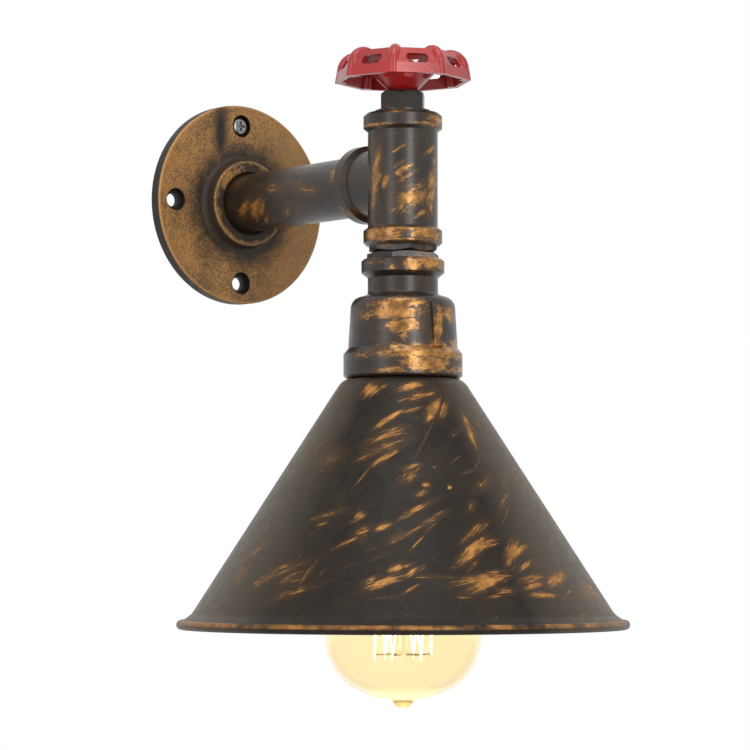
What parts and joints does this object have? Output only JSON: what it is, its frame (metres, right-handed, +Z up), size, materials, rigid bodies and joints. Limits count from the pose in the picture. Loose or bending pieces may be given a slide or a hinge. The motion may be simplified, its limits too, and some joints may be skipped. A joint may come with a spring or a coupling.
{
  "type": "pipe wall light",
  "caption": "Pipe-fitting wall light: round wall flange, straight arm, tee with a red handwheel, bell cup, cone shade and a screw-cap filament bulb.",
  "frame": {"origin": "centre of the wall flange's back face, on the wall", "axes": "+Z up, +Y into the wall, so the arm runs along -Y and the lamp hangs on a vertical axis 127.5 mm from the wall"},
  "size_m": [0.1964, 0.2257, 0.2865],
  "materials": {
    "rubbed_bronze": "black-brown base with dry-brushed antique gold, satin",
    "dark_iron": "satin blackened iron",
    "bright_steel": "bright zinc",
    "zinc_steel": "zinc plated",
    "brass": "bare brass",
    "nickelled_brass": "nickel plated",
    "packing": "graphited cord",
    "holder_black": "moulded phenolic",
    "ceramic": "glazed",
    "brown_sleeve": "insulation",
    "blue_sleeve": "insulation",
    "green_sleeve": "insulation",
    "red_enamel": "gloss red enamel",
    "bulb_cap_metal": "plain",
    "amber_glass": "clear amber",
    "clear_glass": "clear",
    "filament_wire": "tungsten"
  },
  "bodies": {
    "fixture": {"wall_flange": "rubbed_bronze", "flange_screw": "bright_steel", "arm_pipe": "rubbed_bronze", "tee": "rubbed_bronze", "stem_bush": "rubbed_bronze", "gland_packing": "packing", "gland_nut": "dark_iron", "upper_hex_bush": "dark_iron", "lower_hex_bush": "dark_iron", "threaded_tube": "zinc_steel", "tube_nut_upper": "zinc_steel", "tube_nut_lower": "zinc_steel", "earth_tag": "brass", "lamp_cup": "rubbed_bronze", "holder_dome": "holder_black", "holder_insert": "ceramic", "holder_skirt": "holder_black", "socket_shell": "nickelled_brass", "centre_contact": "brass", "terminal_screws": "brass", "live_wire": "brown_sleeve", "neutral_wire": "blue_sleeve", "earth_wire": "green_sleeve", "shade": "rubbed_bronze", "shade_ring": "holder_black"},
    "wheel": {"valve_stem": "zinc_steel", "handwheel": "red_enamel", "wheel_washer": "zinc_steel", "wheel_nut": "zinc_steel"},
    "bulb": {"bulb_contact": "brass", "bulb_insulator": "holder_black", "bulb_cap": "bulb_cap_metal", "bulb_glass": "amber_glass", "bulb_stem": "clear_glass", "filament_supports": "filament_wire", "filament": "filament_wire"}
  },
  "joints": [
    {"name": "wheel_spin", "type": "hinge", "parent": "fixture", "child": "wheel", "pos_m": [0, -0.1275, 0.0392], "axis": [0, 0, 1], "continuous": true},
    {"name": "bulb_out", "type": "slide", "parent": "fixture", "child": "bulb", "axis": [0, 0, -1], "range_m": [0, 0.032]}
  ]
}
